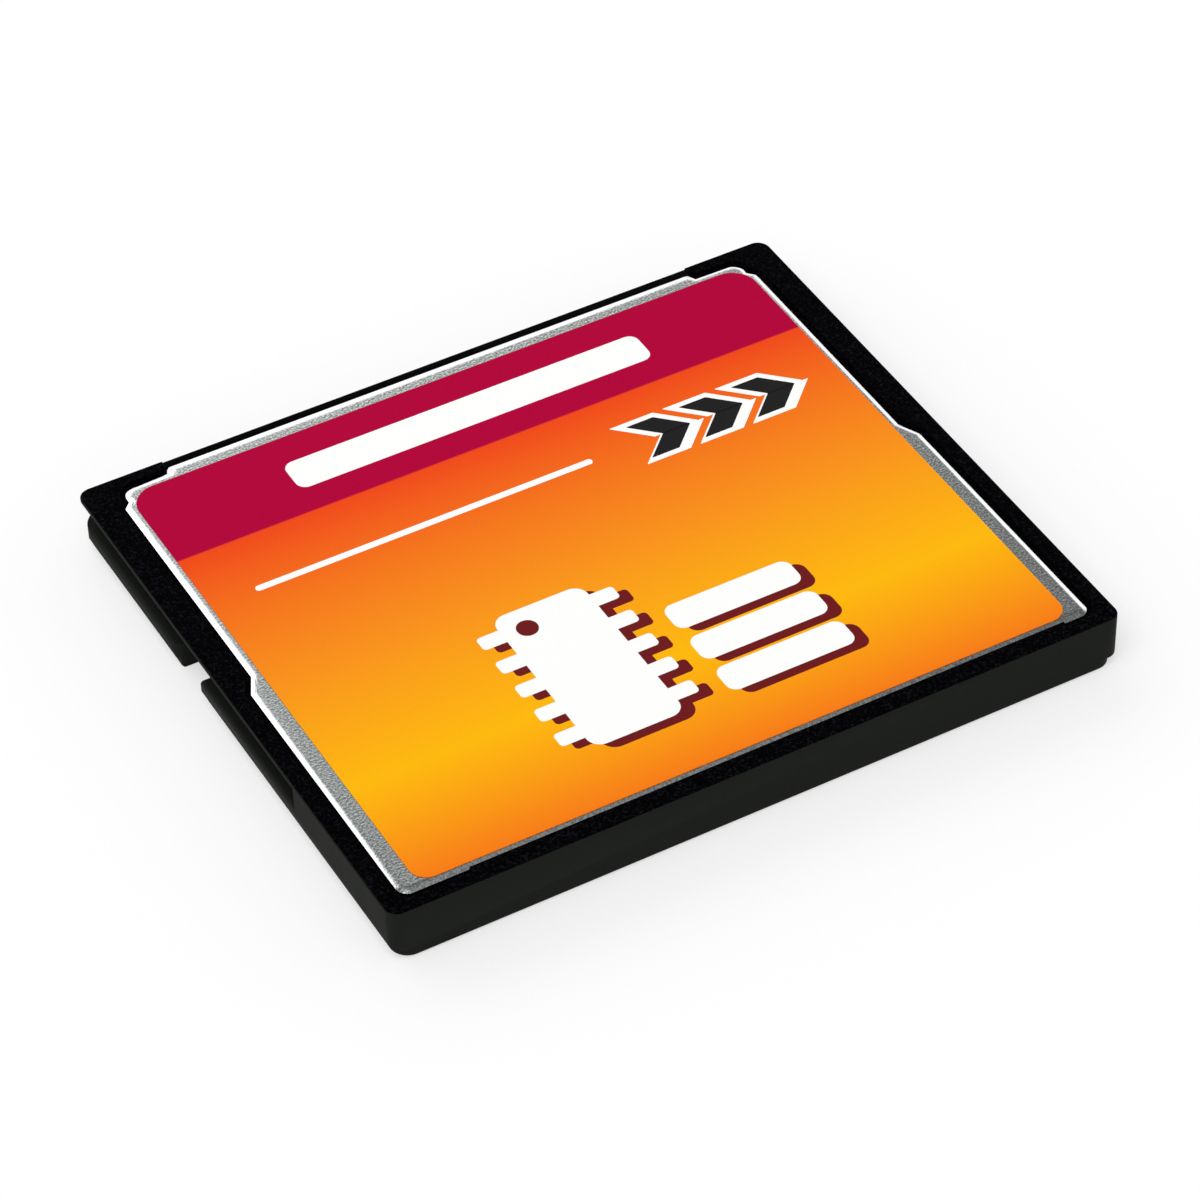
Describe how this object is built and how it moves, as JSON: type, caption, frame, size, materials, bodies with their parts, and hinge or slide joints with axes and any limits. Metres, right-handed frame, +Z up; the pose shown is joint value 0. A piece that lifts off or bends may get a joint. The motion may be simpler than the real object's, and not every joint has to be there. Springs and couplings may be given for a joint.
{
  "type": "memory card",
  "caption": "Flat memory card with a moulded black frame, keyed side slots, steel covers, a printed label and a socket connector along one edge.",
  "frame": {"origin": "middle of the underside", "axes": "+X across the card, +Y towards the connector edge, +Z up through the label"},
  "size_m": [0.0428, 0.0364, 0.0033],
  "materials": {
    "frame_plastic": "moulded black polyester, finely spark textured on top",
    "cover_steel": "bead blasted stainless sheet with a bright rolled rim",
    "label_film": "satin printed film, crimson band over an orange to amber fade",
    "insulating_film": "amber insulating film",
    "connector_plastic": "moulded black liquid crystal polymer",
    "contact_gold": "gold plated spring bronze",
    "board_laminate": "green solder mask on glass laminate",
    "chip_epoxy": "moulded epoxy",
    "tin_plating": "matte tin plate",
    "capacitor_ceramic": "fired ceramic",
    "resistor_ceramic": "glazed ceramic"
  },
  "bodies": {
    "root": {"frame": "frame_plastic", "top_cover": "cover_steel", "bottom_cover": "cover_steel", "upper_film": "insulating_film", "lower_film": "insulating_film", "front_label": "label_film", "connector_housing": "connector_plastic", "upper_contacts": "contact_gold", "lower_contacts": "contact_gold", "circuit_board": "board_laminate", "controller_package": "chip_epoxy", "controller_leads": "tin_plating", "flash_package": "chip_epoxy", "flash_leads": "tin_plating", "regulator_package": "chip_epoxy", "regulator_leads": "tin_plating", "capacitor_bodies": "capacitor_ceramic", "capacitor_terminals": "tin_plating", "resistor_bodies": "resistor_ceramic", "resistor_terminals": "tin_plating"}
  },
  "joints": []
}
